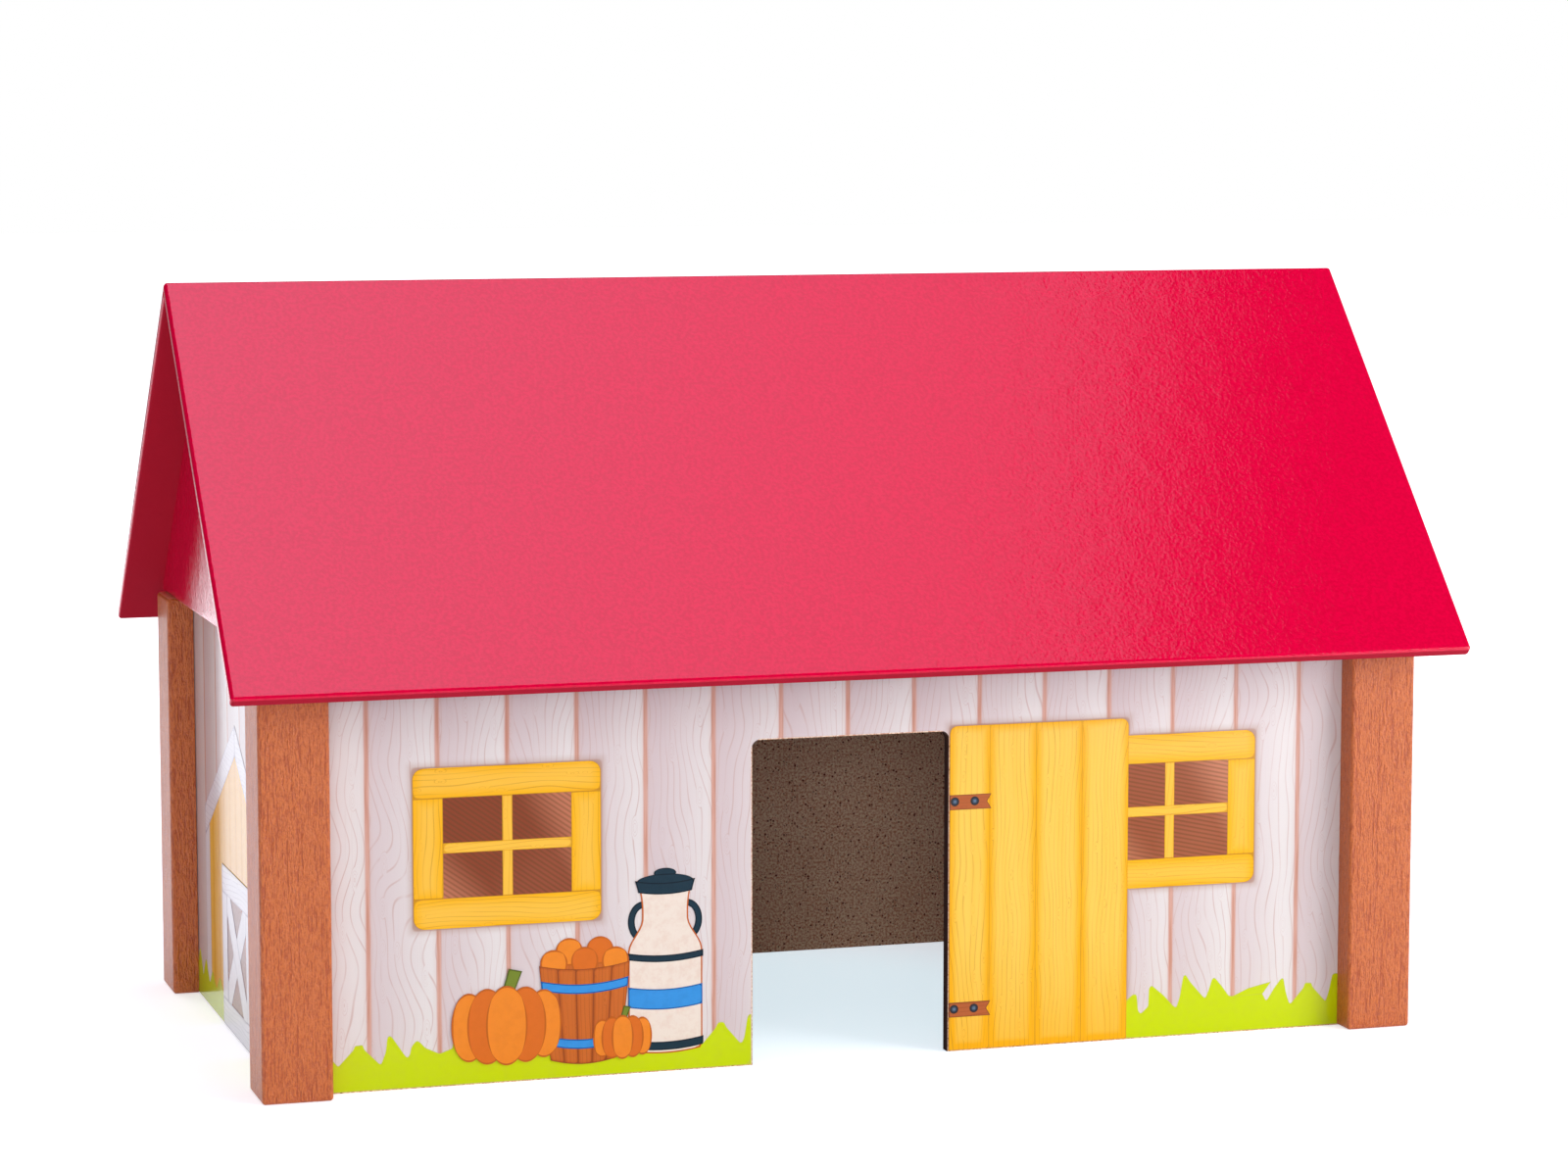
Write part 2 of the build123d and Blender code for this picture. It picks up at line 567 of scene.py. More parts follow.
@dataclass(frozen=True)
class PlankPrint:
    """The sheet's ground: drawn whitewashed planks with fine grain, and soft shade round the drawings.

    Widths and reaches are in millimetres. A pair says where something starts to show and where it shows in
    full, or how finely streaks are divided across and up.
    """

    pitch: float = 22.0
    first_line: float = -1.0
    line_width: float = 1.75
    shaded: Colour = srgb(214, 197, 199)
    lit: Colour = srgb(231, 225, 223)
    line: Colour = srgb(216, 168, 152)
    line_core: Colour = srgb(202, 144, 124)
    grain: Colour = srgb(204, 172, 166)
    shade: Colour = srgb(180, 140, 122)
    wander: float = 0.3
    plank_spread: float = 0.3
    light_from_left: Point = (-0.05, 1.2)
    lines: GrainLines = GrainLines()
    line_strength: float = 0.66
    hair_grain: Point = (2.4, 0.03)
    hair: Point = (0.55, 0.8)
    ragged_grain: Point = (0.4, 0.1)
    core_grain: Point = (2.0, 0.05)
    core: Point = (0.4, 0.66)
    blush: Point = (2.6, 0.6)
    faint: float = 0.14
    wide_shade: Point = (2.8, -0.4)
    close_shade: Point = (0.8, 0.1)
    corner_softness: float = 2.5

    def material(self, side: Side, boxes: list[Box]) -> Material:
        """The ground of one wall.

        Args:
            side: The wall.
            boxes: What the shade goes round, as left, right, bottom and top in millimetres.

        Returns:
            The printed paper as a material.
        """
        ink = Finish(f"{side.name.lower()}_planks")
        place = ink.object_place().stretched(PER_MM, PER_MM, PER_MM)
        across, up = place.along(tuple(side.along)), place.part("Z")
        leaning = ink.noise(ink.vector(0.0, up * 0.06, across * 0.1)) * self.wander + across
        planks = (leaning - self.first_line) / self.pitch
        plank = ink.math("FLOOR", planks)
        lit = ink.math("FRACT", planks).fade(*self.light_from_left)
        ground = ink.blend(ink.chance(plank) * self.plank_spread + lit, self.shaded, self.lit)
        hairs = ink.streaks(across, up, self.hair_grain, plank).fade(*self.hair) * self.faint
        grain = (self.lines.share(across, up, plank) * self.line_strength).larger(hairs)
        drawn = self._lined(across, up, planks, ink.blend(grain, ground, self.grain))
        if boxes:
            drawn = ink.blend(self._shade_share(across, up, boxes), drawn, self.shade)
        return Laminate().over(ink, drawn)

    def _lined(self, across: Value, up: Value, planks: Value, ground: Value) -> Value:
        """Draws the lines between planks: a ragged band with deeper streaks, and a faint blush beside it.

        Args:
            across: Millimetres across.
            up: Millimetres up.
            planks: Planks from the first line.
            ground: The planks' colour.

        Returns:
            The colour with the lines.
        """
        ink = across.graph
        off_line = planks.off_line() * self.pitch
        ragged = ink.streaks(across, up, self.ragged_grain, 3.0) * -0.3 + off_line
        band = ragged.fade(self.line_width / 2 + 0.2, self.line_width / 2 - 0.7)
        core = ink.streaks(across, up, self.core_grain, 7.0).fade(*self.core)
        share = band.larger(off_line.fade(*self.blush) * self.faint)
        return ink.blend(share, ground, ink.blend(core, self.line, self.line_core))

    def _shade_share(self, across: Value, up: Value, boxes: list[Box]) -> Value:
        """How strongly the drawn shade shows, by the distance from the nearest box.

        Args:
            across: Millimetres across.
            up: Millimetres up.
            boxes: Left, right, bottom and top of each box, in millimetres.

        Returns:
            The share, 0 to 1.
        """
        ink = across.graph
        nearest: Value | float = 1000.0
        for left, right, bottom, top in boxes:
            beside = abs(across - (left + right) / 2) - (right - left) / 2
            above = abs(up - (bottom + top) / 2) - (top - bottom) / 2
            outside = ink.math("SMOOTH_MAX", beside, above, self.corner_softness)
            nearest = ink.math("MINIMUM", nearest, outside)
        return nearest.fade(*self.wide_shade) * 0.5 + nearest.fade(*self.close_shade) * 0.4


@dataclass(frozen=True)
class DrawnWood:
    """A drawn board: a bright face, deeper along its edges, with fine grain along it and an outline.

    The edge's width is in millimetres. The outline and low_deepening, for the board's foot, are strengths.
    """

    name: str
    face: Colour
    edge: Colour
    grain: Colour
    edge_width: float = 2.3
    outline: float = 0.75
    low_deepening: float = 0.0
    lines: GrainLines = GrainLines(1.5, 0.26, 6.0, (14.0, 40.0), (3.2, 8.8), 1.6)
    line_strength: float = 0.5
    streaks: Point = (0.02, 0.3)
    streaky: Point = (0.6, 0.35)
    faint: float = 0.14
    foot: Point = (0.045, -0.015)
    rim: Point = (0.34, 0.1)

    def material(self) -> Material:
        """The drawn board as a material."""
        ink = Finish(self.name)
        place = ink.drawn_place()
        along, across = place.part("X"), place.part("Y")
        number, rim = ink.carried("number"), ink.carried("rim")
        streak = ink.streaks(along, across, self.streaks, number)
        edge = (streak + rim).fade(self.edge_width + 0.6, 0.4)
        foot = ink.object_place().part("Z").fade(*self.foot) * self.low_deepening
        deep = ink.math("MINIMUM", edge.larger(streak.fade(*self.streaky) * self.faint) + foot, 1.0)
        lines = self.lines.share(across, along, number) * self.line_strength
        drawn = ink.blend(lines, ink.blend(deep, self.face, self.edge), self.grain)
        return Laminate().over(ink, ink.blend(rim.fade(*self.rim) * self.outline, drawn, self.grain))


@dataclass(frozen=True)
class DrawnPane:
    """A drawn window pane: brown, paler away from a diagonal through the window, with a fine hatch.

    The rise is hatch lines to a millimetre across and up, and the other pairs say, in millimetres from the
    window's middle, where the paler parts start and where they show in full.
    """

    name: str = "drawn_pane"
    dark: Colour = srgb(140, 66, 38)
    pale: Colour = srgb(208, 132, 100)
    rise: Point = (0.42, 0.6)
    hatch: Colour = srgb(92, 66, 34)
    hatch_line: Point = (0.34, 0.08)
    hatch_strength: float = 0.42
    right_side: Point = (-1.0, 20.0)
    lower_left: Point = (-14.0, -36.0)
    upper_right: Point = (9.0, 27.0)
    corner_glow: float = 0.8
    side_glow: float = 0.12

    def material(self) -> Material:
        """The pane as a material."""
        ink = Finish(self.name)
        place = ink.drawn_place()
        across, up = place.part("X"), place.part("Y")
        lower_left = (up * 0.9 + across).fade(*self.lower_left)
        upper_right = (up * 0.5 + across).fade(*self.upper_right)
        side = (up * -0.9 + across).fade(*self.right_side) * self.side_glow
        glow = (lower_left.larger(upper_right) * self.corner_glow).larger(side)
        slant = across * self.rise[0] + up * self.rise[1]
        hatch = slant.off_line().fade(*self.hatch_line) * self.hatch_strength
        return Laminate().over(ink, ink.blend(hatch, ink.blend(glow, self.dark, self.pale), self.hatch))


@dataclass(frozen=True)
class FlatInk:
    """One printed colour, faintly uneven, with a rim of another tone that reaches some millimetres in."""

    name: str
    colour: Colour
    rim_colour: Colour
    rim_width: float
    clouds: Texture = Texture(420.0, 3.0, 0.6)
    cloudy: Point = (0.4, 0.7)
    faint: float = 0.12

    def material(self) -> Material:
        """The ink as a material."""
        ink = Finish(self.name)
        rim = ink.carried("rim").fade(self.rim_width, 0.6 * self.rim_width)
        share = rim.larger(ink.texture(self.clouds).fade(*self.cloudy) * self.faint)
        return Laminate().over(ink, ink.blend(share, self.colour, self.rim_colour))


YELLOW = srgb(255, 198, 70)
DEEP_YELLOW = srgb(253, 187, 18)
OCHRE = srgb(190, 126, 30)
BURNT_ORANGE = srgb(196, 98, 26)


class Tint(Enum):
    """The finishes of the drawings."""

    YELLOW_BOARD = DrawnWood("drawn_yellow_board", YELLOW, DEEP_YELLOW, OCHRE, 4.2)
    YELLOW_BAR = DrawnWood("drawn_yellow_bar", YELLOW, DEEP_YELLOW, OCHRE, 0.3, 0.4)
    YELLOW_DOOR = DrawnWood("drawn_yellow_door", srgb(255, 207, 88), srgb(252, 183, 20), OCHRE, 3.6, 0.4, 0.6)
    WHITE_BOARD = DrawnWood(
        "drawn_white_board", srgb(240, 239, 246), srgb(220, 218, 232), srgb(176, 170, 186), 1.0, 0.7
    )
    PANE = DrawnPane()
    FLAT_PANE = DrawnPane("drawn_flat_pane", srgb(160, 86, 54), srgb(212, 138, 104), (0.16, 0.72))
    GRASS = FlatInk("drawn_grass", srgb(204, 223, 0), srgb(198, 206, 60), 0.3)
    STRAP = DrawnWood("drawn_strap", srgb(184, 98, 52), srgb(160, 82, 40), srgb(118, 66, 36), 0.5, 0.8)
    NAIL_RING = FlatInk("drawn_nail_ring", srgb(46, 50, 58), srgb(58, 48, 44), 0.3)
    NAIL_HEAD = FlatInk("drawn_nail_head", srgb(96, 118, 142), srgb(60, 74, 92), 0.5)
    ORANGE = FlatInk("harvest_orange", srgb(242, 140, 40), BURNT_ORANGE, 0.7)
    DEEP_ORANGE = FlatInk("harvest_deep_orange", srgb(222, 112, 32), BURNT_ORANGE, 0.7)
    STEM = FlatInk("harvest_stem", srgb(120, 138, 44), srgb(84, 98, 30), 0.5)
    CREAM = FlatInk("harvest_cream", srgb(242, 228, 214), BURNT_ORANGE, 0.6)
    TEAL = FlatInk("harvest_teal", srgb(24, 52, 66), srgb(12, 32, 44), 0.5)
    STAVE = DrawnWood("harvest_stave", srgb(206, 108, 40), srgb(186, 90, 30), srgb(146, 70, 26), 1.2, 0.9)
    BLUE = FlatInk("harvest_blue", srgb(56, 150, 226), srgb(20, 92, 168), 0.5)

    @cache
    def material(self) -> Material:
        """The finish as a material, made once."""
        return self.value.material()


def curve(across: np.ndarray | float, up: np.ndarray | float) -> np.ndarray:
    """Points from their places across and up, given as arrays or as one number for all."""
    return np.stack(np.broadcast_arrays(across, up), -1)


def ruled(first: np.ndarray, second: np.ndarray, steps: int) -> np.ndarray:
    """Rows of points on straight lines from one curve to another: (1 - t) * first + t * second."""
    t = np.linspace(0.0, 1.0, steps)[None, :, None]
    return (1 - t) * first[:, None, :] + t * second[:, None, :]


def eased(low: float, high: float, count: int) -> np.ndarray:
    """Numbers from low to high, closer together at both ends: the cosine of an evenly growing angle."""
    return low + (high - low) * (1 - np.cos(np.linspace(0.0, math.pi, count))) / 2


def drawn_in(up: np.ndarray, end: float, radius: float) -> np.ndarray:
    """How far a side draws in at a rounded corner: r - sqrt(r^2 - (r - d)^2), d from the board's end."""
    into = np.clip(radius - np.abs(up - end), 0.0, radius)
    return radius - np.sqrt(np.maximum(radius**2 - into**2, 0.0))


SQUARE_CORNERS = (0.0, 0.0, 0.0, 0.0)


class Grain(Enum):
    """Which way the grain of a drawn shape runs."""

    UP = "up"
    ACROSS = "across"


@dataclass
class Shape:
    """One flat shape of a drawing: a grid of (across, up) points in millimetres.

    Its level counts layers of ink above the sheet, and its drawn place is counted from its origin.
    """

    points: np.ndarray
    ink: Tint
    level: int
    grain: Grain = Grain.UP
    origin: Point = (0.0, 0.0)

    def __post_init__(self) -> None:
        """Swaps the grid's axes where they run clockwise, so that every face looks outwards."""
        across, up = np.diff(self.points, axis=1)[:-1], np.diff(self.points, axis=0)[:, :-1]
        if (across[..., 0] * up[..., 1] - across[..., 1] * up[..., 0]).sum() < 0:
            self.points = self.points.transpose(1, 0, 2)

    def rim(self) -> np.ndarray:
        """Distance from each point to the shape's nearest side, along the grid's lines, in millimetres."""
        reaches = []
        for axis in (0, 1):
            steps = np.linalg.norm(np.diff(self.points, axis=axis), axis=2)
            from_side = np.pad(np.cumsum(steps, axis=axis), [(1 - axis, 0), (axis, 0)])
            reaches += [from_side, from_side.take([-1], axis) - from_side]
        return np.minimum.reduce(reaches)

    def drawn(self) -> np.ndarray:
        """The points' places in the drawing: along the grain and across it, in metres."""
        place = MM * (self.points - np.array(self.origin))
        return place if self.grain is Grain.ACROSS else place[..., ::-1]

    def faces(self) -> np.ndarray:
        """Its faces as four point numbers each: a front grid, a back grid, and the sides between them."""
        count = self.points[..., 0].size
        index = np.arange(count).reshape(self.points.shape[:2])
        front = np.stack([index[:-1, :-1], index[:-1, 1:], index[1:, 1:], index[1:, :-1]], 2).reshape(-1, 4)
        edge = np.concatenate([index[0, :], index[1:, -1], index[-1, -2::-1], index[-2::-1, 0]])
        sides = np.stack([edge[:-1], edge[:-1] + count, edge[1:] + count, edge[1:]], 1)
        return np.concatenate([front, front[:, ::-1] + count, sides])


def board(box: Box, ink: Tint, level: int, grain: Grain = Grain.UP, radii: Box = SQUARE_CORNERS) -> Shape:
    """A drawn board: rows of points between two upright sides, which draw in at the rounded corners.

    Args:
        box: Left, right, bottom and top, in millimetres.
        ink: Its finish.
        level: Its layer of ink.
        grain: The way its grain runs.
        radii: Radii at bottom left, bottom right, top left and top right.

    Returns:
        The shape.
    """
    left, right, bottom, top = box
    up = eased(bottom, top, 44)
    left_side = left + drawn_in(up, bottom, radii[0]) + drawn_in(up, top, radii[2])
    right_side = right - drawn_in(up, bottom, radii[1]) - drawn_in(up, top, radii[3])
    return Shape(ruled(curve(left_side, up), curve(right_side, up), 21), ink, level, grain)


def patch(corners: tuple[Point, ...], ink: Tint, level: int, grain: Grain = Grain.UP) -> Shape:
    """A straight-sided patch: rows ruled from its left side to its right side.

    Args:
        corners: Bottom left, bottom right, top left and top right, in millimetres.
        ink: Its finish.
        level: Its layer of ink.
        grain: The way its grain runs.

    Returns:
        The shape.
    """
    t = eased(0.0, 1.0, 30)[:, None]
    bottom_left, bottom_right, top_left, top_right = np.array(corners)
    left_side, right_side = (1 - t) * bottom_left + t * top_left, (1 - t) * bottom_right + t * top_right
    return Shape(ruled(left_side, right_side, 16), ink, level, grain)


def pane(box: Box, ink: Tint, level: int) -> Shape:
    """A window pane, whose hatch is counted from its middle.

    Args:
        box: Left, right, bottom and top, in millimetres.
        ink: Its finish.
        level: Its layer of ink.

    Returns:
        The shape.
    """
    left, right, bottom, top = box
    shape = patch(((left, bottom), (right, bottom), (left, top), (right, top)), ink, level, Grain.ACROSS)
    shape.origin = ((left + right) / 2, (bottom + top) / 2)
    return shape


def oval(middle: Point, half: Point, ink: Tint, level: int) -> Shape:
    """A drawn oval: a square grid (u, v) pushed out to it, with no pole or seam.

    Across it is a * u * sqrt(1 - v^2 / 2) and up it is b * v * sqrt(1 - u^2 / 2), for the half sizes a and b.

    Args:
        middle: The middle, as (across, up) in millimetres.
        half: Half its width and half its height.
        ink: Its finish.
        level: Its layer of ink.

    Returns:
        The shape.
    """
    u, v = np.meshgrid(np.linspace(-1.0, 1.0, 25), np.linspace(-1.0, 1.0, 25))
    across, up = half[0] * u * np.sqrt(1 - v**2 / 2), half[1] * v * np.sqrt(1 - u**2 / 2)
    return Shape(curve(middle[0] + across, middle[1] + up), ink, level)


@dataclass(frozen=True)
class Drawing:
    """A printed piece: flat shapes on a wall's sheet, in one mesh, each a slab as high as its layers of ink.

    The slabs' backs lie a little within the sheet. Lengths are in millimetres.
    """

    name: str
    side: Side
    shapes: list[Shape]
    layer: float = 0.04
    root: float = 0.02

    def build(self) -> bpy.types.Object:
        """Makes the piece.

        Returns:
            The piece, riding on the base.
        """
        places = [
            self.side.place(shape.points, height).reshape(-1, 3)
            for shape in self.shapes
            for height in (shape.level * self.layer, -self.root)
        ]
        sizes = [2 * shape.points[..., 0].size for shape in self.shapes]
        starts = np.cumsum([0, *sizes[:-1]])
        slabs = [shape.faces() + start for shape, start in zip(self.shapes, starts)]
        faces = np.concatenate(slabs)
        tints = [tint for tint in Tint if any(shape.ink is tint for shape in self.shapes)]
        inks = np.repeat([tints.index(shape.ink) for shape in self.shapes], [len(slab) for slab in slabs])
        mesh = bpy.data.meshes.new(self.name)
        mesh.from_pydata(np.concatenate(places).tolist(), [], faces.tolist())
        mesh.polygons.foreach_set("material_index", inks.astype(np.int32))
        self._carry(mesh, faces.ravel(), sizes)
        for tint in tints:
            mesh.materials.append(tint.material())
        piece = placed(self.name, mesh)
        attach(piece, "base")
        log.info("%s: %d shapes, %d faces", self.name, len(self.shapes), len(faces))
        return piece

    def _carry(self, mesh: bpy.types.Mesh, corners: np.ndarray, sizes: list[int]) -> None:
        """Stores what the finishes read: places in the drawing, distances to the rim, and shape numbers.

        Args:
            mesh: The piece's mesh.
            corners: The point number of each face corner.
            sizes: Each shape's points.
        """
        drawn = np.concatenate([np.tile(shape.drawn().reshape(-1, 2), (2, 1)) for shape in self.shapes])
        rims = np.concatenate([np.tile(shape.rim().ravel(), 2) for shape in self.shapes])
        numbers = np.repeat(np.arange(len(self.shapes)), sizes)
        drawing = mesh.uv_layers.new(name="drawing")
        drawing.uv.foreach_set("vector", drawn[corners].astype(np.float32).ravel())
        for name, values in (("rim", rims), ("number", numbers)):
            mesh.attributes.new(name, "FLOAT", "POINT").data.foreach_set("value", values.astype(np.float32))


def placed(name: str, data: bpy.types.ID) -> bpy.types.Object:
    """Puts something into the scene.

    Args:
        name: The object's name.
        data: Its mesh, lamp or camera.

    Returns:
        The object.
    """
    thing = bpy.data.objects.new(name, data)
    bpy.context.scene.collection.objects.link(thing)
    return thing


@dataclass(frozen=True)
class WindowDrawing:
    """A drawn window, in millimetres: rails over stiles in a yellow frame, and glazing bars over a pane."""

    left: float
    glass: Tint = Tint.PANE
    bottom: float = 49.5
    width: float = 59.5
    height: float = 50.0
    rail: float = 9.4
    stile: float = 9.5
    bar: float = 3.2
    corner: float = 3.4

    def box(self) -> Box:
        """Left, right, bottom and top of the frame."""
        return self.left, self.left + self.width, self.bottom, self.bottom + self.height

    def shapes(self) -> list[Shape]:
        """Rails, stiles, pane and bars."""
        left, right, bottom, top = self.box()
        near, far, low, high = left + self.stile, right - self.stile, bottom + self.rail, top - self.rail
        middle, mid_up, half_bar, r = (near + far) / 2, (low + high) / 2, self.bar / 2, self.corner
        return [
            board((left, right, bottom, low), Tint.YELLOW_BOARD, 2, Grain.ACROSS, (r, r, 0.0, 0.0)),
            board((left, right, high, top), Tint.YELLOW_BOARD, 2, Grain.ACROSS, (0.0, 0.0, r, r)),
            board((left, near, low, high), Tint.YELLOW_BOARD, 2),
            board((far, right, low, high), Tint.YELLOW_BOARD, 2),
            pane((near, far, low, high), self.glass, 1),
            board((middle - half_bar, middle + half_bar, low, high), Tint.YELLOW_BAR, 2),
            board((near, far, mid_up - half_bar, mid_up + half_bar), Tint.YELLOW_BAR, 3, Grain.ACROSS),
        ]


@dataclass(frozen=True)
class DoorDrawing:
    """The drawn door beside the doorway, in millimetres: four yellow planks with two nailed brown straps.

    The seams run from the door's left side to its right side, and a strap from the first one to its tips.
    """

    seams: tuple[float, ...] = (32.9, 46.4, 62.1, 77.8, 93.7)
    top: float = 105.1
    bottom: float = 0.4
    corner: float = 2.4
    strap_bottoms: Point = (78.2, 11.1)
    strap_tips: float = 46.9
    strap_height: float = 4.8
    notch: float = 1.4
    nails: Point = (34.6, 41.3)
    nail_rise: float = 2.64
    nail_ring: float = 1.45
    nail_head: float = 0.841

    def box(self) -> Box:
        """Left, right, bottom and top of the door."""
        return self.seams[0], self.seams[-1], self.bottom, self.top

    def shapes(self) -> list[Shape]:
        """Planks from the left, then each strap with its nails."""
        shapes = []
        for left, right in zip(self.seams, self.seams[1:]):
            radii = (0.0, 0.0, self.corner * (left == self.seams[0]), self.corner * (right == self.seams[-1]))
            shapes.append(board((left, right, self.bottom, self.top), Tint.YELLOW_DOOR, 4, radii=radii))
        for bottom in self.strap_bottoms:
            shapes.append(self._strap(bottom))
            for nail in self.nails:
                middle = (nail, bottom + self.nail_rise)
                shapes.append(oval(middle, (self.nail_ring, self.nail_ring), Tint.NAIL_RING, 6))
                shapes.append(oval(middle, (self.nail_head, self.nail_head), Tint.NAIL_HEAD, 7))
        return shapes

    def _strap(self, bottom: float) -> Shape:
        """A strap with a swallow tail at its right end, deepest at mid height: notch * (1 - |2 s - 1|).

        Args:
            bottom: Height of its bottom side.

        Returns:
            The shape.
        """
        s = np.linspace(0.0, 1.0, 25)
        up = bottom + self.strap_height * s
        tail = self.strap_tips - self.notch * (1 - np.abs(2 * s - 1))
        return Shape(ruled(curve(self.seams[0], up), curve(tail, up), 25), Tint.STRAP, 5, Grain.ACROSS)


@dataclass(frozen=True)
class GrassDrawing:
    """Drawn grass along the bottom of a wall, in millimetres: pointed tufts, and blades that lean over.

    The outline is the upper edge's corners from left to right, rounded over some of the edge's points.
    """

    outline: tuple[Point, ...]
    leaning: tuple[tuple[Point, ...], ...] = ()
    bottom: float = 0.4
    step: float = 0.2
    softness: int = 7

    def edge(self) -> np.ndarray:
        """The upper edge: points at even steps along the outline, each the mean of itself and its neighbours.

        Returns:
            The points, one to a row, which never run back to the left.
        """
        corners = np.array(self.outline)
        reach = np.pad(np.cumsum(np.linalg.norm(np.diff(corners, axis=0), axis=1)), (1, 0))
        along = np.append(np.arange(0.0, reach[-1], self.step), reach[-1])
        kernel = np.ones(self.softness) / self.softness
        across, up = (
            np.convolve(np.pad(np.interp(along, reach, line), self.softness // 2, "edge"), kernel, "valid")
            for line in corners.T
        )
        return curve(np.maximum.accumulate(across), up)

    def shapes(self, level: int = 1) -> list[Shape]:
        """The tufts, ruled upright from the sheet's bottom edge, and the leaning blades a layer above."""
        edge = self.edge()
        tufts = Shape(ruled(curve(edge[:, 0], self.bottom), edge, 6), Tint.GRASS, level)
        return [tufts, *(patch(corners, Tint.GRASS, level + 1) for corners in self.leaning)]


def even_grass(start: float, end: float, seed: int) -> GrassDrawing:
    """Grass whose valleys and slanting tips come in turn, with places and heights by chance.

    Args:
        start: The left end, in millimetres across.
        end: The right end.
        seed: The seed of the chances.

    Returns:
        The grass.
    """
    usual_width, blunt = 9.0, 0.9
    chance = np.random.default_rng(seed)
    count = round((end - start) / usual_width)
    widths = chance.uniform(0.55, 1.6, count)
    valleys = start + (end - start) * np.pad(np.cumsum(widths), (1, 0)) / widths.sum()
    tips = valleys[:-1] + np.diff(valleys) * chance.uniform(0.15, 0.6, count)
    valley_ups, tip_ups = chance.uniform(7.5, 12.0, count + 1), chance.uniform(12.8, 19.0, count)
    tufts = [curve(valleys[:-1], valley_ups[:-1]), curve(tips, tip_ups), curve(tips + blunt, tip_ups)]
    corners = np.stack(tufts, 1).reshape(-1, 2).tolist()
    return GrassDrawing((*map(tuple, corners), (end, float(valley_ups[-1]))))


@dataclass(frozen=True)
class BarnFrontDrawing:
    """The drawn barn front on an end wall, in millimetres: planks, a white gable trim, a braced half door.

    Widths at the eaves and apex are measured over the trim.
    """

    grass: tuple[GrassDrawing, ...]
    middle: float = 3.5
    half_width: float = 59.0
    eaves: float = 68.0
    apex: float = 103.0
    trim: float = 8.4
    trim_depth: float = 10.08
    planks: int = 10
    door_half: float = 26.4
    door_top: float = 53.6
    frame: float = 9.0
    brace_reach: float = 3.124
    bottom: float = 0.4

    def shapes(self) -> list[Shape]:
        """Planks, trim, half door and grass."""
        grass = [shape for tufts in self.grass for shape in tufts.shapes(3)]
        return [*self._planks(), *self._trim(), *self._door(), *grass]

    def _gable(self, across: float, inset: float = 0.0) -> Point:
        """A point of the gable's line, moved down by an inset."""
        fall = (self.apex - self.eaves) / self.half_width
        return across, self.apex - fall * abs(across - self.middle) - inset

    def _planks(self) -> list[Shape]:
        """The planks under the trim, their tops slanting with the gable."""
        half, floor = self.half_width - self.trim / 2, self.bottom
        seams = np.linspace(self.middle - half, self.middle + half, self.planks + 1).tolist()
        tops = [self._gable(across, self.trim / 2) for across in seams]
        pairs = zip(tops, tops[1:])
        return [patch(((a[0], floor), (b[0], floor), a, b), Tint.YELLOW_BOARD, 1) for a, b in pairs]

    def _trim(self) -> list[Shape]:
        """The trim: on each side an upright leg, and a slanting board up to the tip."""
        shapes = []
        for way in (-1, 1):
            outer = self.middle + way * self.half_width
            inner = outer - way * self.trim
            low, high = self._gable(outer, self.trim_depth), self._gable(inner, self.trim_depth)
            tip = self._gable(self.middle, self.trim_depth)
            leg = ((outer, self.bottom), (inner, self.bottom), low, high)
            slant = (low, tip, self._gable(outer), self._gable(self.middle))
            shapes += [patch(leg, Tint.WHITE_BOARD, 2), patch(slant, Tint.WHITE_BOARD, 2, Grain.ACROSS)]
        return shapes

    def _door(self) -> list[Shape]:
        """The half door: panes, two crossed braces, and a frame over their ends."""
        left, right, reach = self.middle - self.door_half, self.middle + self.door_half, self.brace_reach
        near, far = left + self.frame, right - self.frame
        low, high = self.bottom + self.frame, self.door_top - self.frame
        a, b = (near - reach, low + reach), (near + reach, low - reach)
        c, d = (far - reach, high + reach), (far + reach, high - reach)
        falling = tuple((2 * self.middle - across, up) for across, up in (b, a, d, c))
        return [
            pane((near, far, low, high), Tint.PANE, 4),
            patch((a, b, c, d), Tint.WHITE_BOARD, 5),
            patch(falling, Tint.WHITE_BOARD, 6),
            board((left, near, low, high), Tint.WHITE_BOARD, 7),
            board((far, right, low, high), Tint.WHITE_BOARD, 7),
            board((left, right, self.bottom, low), Tint.WHITE_BOARD, 7, Grain.ACROSS),
            board((left, right, high, self.door_top), Tint.WHITE_BOARD, 7, Grain.ACROSS),
        ]


@dataclass(frozen=True)
class Pumpkin:
    """A drawn pumpkin, in millimetres: overlapping oval ribs, the middle one on top, and a stem behind them.

    A pair of ribs is its distance from the middle and half width, in units, and its share of the half height.
    The stem's corners are in units across and half heights up.
    """

    middle: Point
    unit: float
    half_height: float
    level: int = 11
    ribs: tuple[Place, ...] = ((0.72, 0.34, 0.86), (0.37, 0.39, 0.95), (0.0, 0.4, 1.0))
    inks: tuple[Tint, ...] = (Tint.ORANGE, Tint.DEEP_ORANGE, Tint.ORANGE)
    stem: tuple[Point, ...] = ((-0.11, 0.7), (0.11, 0.7), (0.05, 1.42), (0.303, 1.42))
    stem_cut: float = 0.06

    def shapes(self) -> list[Shape]:
        """The stem, then the ribs from the outer ones to the middle one, each pair a layer higher."""
        x, z = self.middle
        corners = [(x + across * self.unit, z + up * self.half_height) for across, up in self.stem]
        corners[3] = (corners[3][0], corners[3][1] - self.stem_cut * self.unit)
        shapes = [patch(tuple(corners), Tint.STEM, self.level)]
        for rank, (offset, width, height) in enumerate(self.ribs):
            half = (width * self.unit, height * self.half_height)
            for way in (-1, 1) if offset else (1,):
                middle = (x + way * offset * self.unit, z)
                shapes.append(oval(middle, half, self.inks[rank], self.level + 1 + rank))
        return shapes


